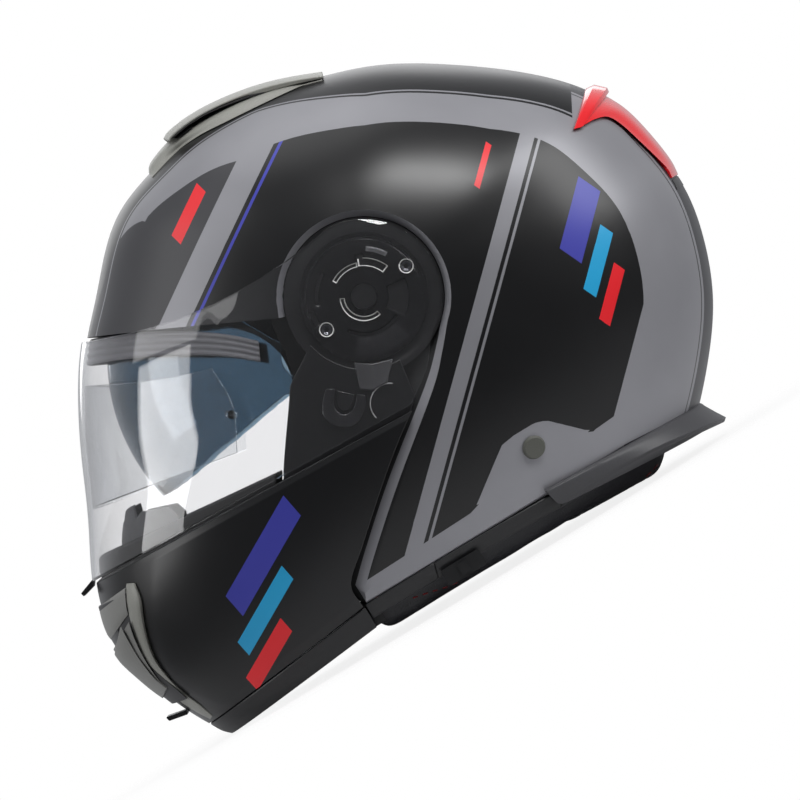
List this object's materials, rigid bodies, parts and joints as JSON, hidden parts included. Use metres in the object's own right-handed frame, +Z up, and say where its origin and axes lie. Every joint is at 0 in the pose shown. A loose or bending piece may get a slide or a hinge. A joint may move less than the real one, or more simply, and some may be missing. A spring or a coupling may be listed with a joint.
{
  "type": "modular motorcycle helmet",
  "caption": "Flip-up motorcycle helmet with a hinged chin bar, clear face shield, drop-down sun visor, vents, linings and chin strap.",
  "frame": {"origin": "middle of the helmet's footprint, on the surface it stands on", "axes": "-X is the front, -Y the rider's left side, +Z up"},
  "size_m": [0.359, 0.259, 0.2697],
  "materials": {
    "matte_shell": "matte lacquer over a thermoplastic shell",
    "chin_lacquer": "satin lacquer",
    "red_lacquer": "glossy lacquer",
    "grey_plastic": "moulded, fine grain",
    "black_plastic": "moulded, fine grain",
    "black_rubber": "moulded",
    "foam": "moulded bead foam, painted black",
    "lining": "brushed knit",
    "leatherette": "embossed, red stitching",
    "webbing": "woven polyester",
    "clear_lens": "hard-coated polycarbonate",
    "smoke_lens": "tinted polycarbonate",
    "steel": "plated",
    "white_plastic": "moulded"
  },
  "bodies": {
    "shell": {"outer_shell": "matte_shell", "impact_liner": "foam", "comfort_liner": "lining", "cheek_pad_left": "lining", "cheek_pad_right": "lining", "neck_roll": "leatherette", "base_trim": "black_rubber", "rear_skirt": "black_plastic", "rear_spoiler": "red_lacquer", "exhaust_grille": "black_plastic", "top_vent_base": "black_plastic", "top_vent_cover": "grey_plastic", "brow_gasket": "black_rubber", "pivot_base_left": "black_plastic", "pivot_base_right": "black_plastic", "pivot_pins": "black_plastic", "pivot_washers": "white_plastic", "side_plugs": "black_plastic", "chin_strap_left": "webbing", "chin_strap_right": "webbing", "strap_rivets": "steel", "buckle_body": "steel", "buckle_pin": "steel", "ratchet_strap": "red_lacquer"},
    "chin_bar": {"chin_shell": "chin_lacquer", "chin_arm_left": "black_plastic", "chin_arm_right": "black_plastic", "chin_liner": "foam", "chin_trim": "black_rubber", "chin_gasket": "black_rubber", "nose_deflector": "black_plastic", "chin_vent_base": "black_plastic", "chin_vent_cover": "grey_plastic", "cam_plate_left": "black_plastic", "cam_plate_right": "black_plastic", "cam_screws": "steel", "lock_forks": "black_plastic"},
    "shield": {"face_shield": "clear_lens", "shield_tab": "black_plastic", "antifog_lens": "clear_lens", "lens_pins": "clear_lens"},
    "sun_visor": {"sun_visor": "smoke_lens"},
    "visor_slider": {"visor_slider": "black_plastic"},
    "top_vent_slider": {"top_vent_slider": "black_plastic"},
    "chin_vent_slider": {"chin_vent_slider": "black_plastic"},
    "release_lever": {"release_lever": "red_lacquer"},
    "lock_pawls": {"lock_pawls": "steel"},
    "buckle_lever": {"buckle_lever": "red_lacquer"}
  },
  "joints": [
    {"name": "chin_bar_flip", "type": "hinge", "parent": "shell", "child": "chin_bar", "pos_m": [0.015, 0, 0.14782], "axis": [0, 1, 0], "range_deg": [0, 80]},
    {"name": "shield_flip", "type": "hinge", "parent": "chin_bar", "child": "shield", "pos_m": [0.015, 0, 0.14782], "axis": [0, 1, 0], "range_deg": [0, 34]},
    {"name": "sun_visor_tilt", "type": "hinge", "parent": "shell", "child": "sun_visor", "pos_m": [-0.02431, 0, 0.13889], "axis": [0, 1, 0], "range_deg": [0, 40]},
    {"name": "visor_slider_slide", "type": "slide", "parent": "shell", "child": "visor_slider", "axis": [1, 0, 0], "range_m": [0, 0.02]},
    {"name": "top_vent_slide", "type": "slide", "parent": "shell", "child": "top_vent_slider", "axis": [0.9622, 0, 0.2723], "range_m": [0, 0.005]},
    {"name": "chin_vent_slide", "type": "slide", "parent": "chin_bar", "child": "chin_vent_slider", "axis": [-0.0986, 0, -0.9951], "range_m": [0, 0.004]},
    {"name": "release_press", "type": "slide", "parent": "chin_bar", "child": "release_lever", "axis": [0.411, 0, -0.9116], "range_m": [0, 0.003], "stiffness_N_per_m": 400, "springref_m": -0.002},
    {"name": "lock_pawl_slide", "type": "slide", "parent": "chin_bar", "child": "lock_pawls", "axis": [-0.518, 0, -0.8554], "range_m": [0, 0.003]},
    {"name": "buckle_lever_lift", "type": "hinge", "parent": "shell", "child": "buckle_lever", "pos_m": [-0.05848, -0.006, 0.02456], "axis": [0.8554, 0, -0.518], "range_deg": [0, 45], "stiffness_Nm_per_rad": 0.05, "springref_deg": -17.19}
  ],
  "couplings": [
    {"joint": "visor_slider_slide", "follows": "sun_visor_tilt", "m_per_rad": 0.028648},
    {"joint": "lock_pawl_slide", "follows": "release_press", "ratio": 1}
  ]
}
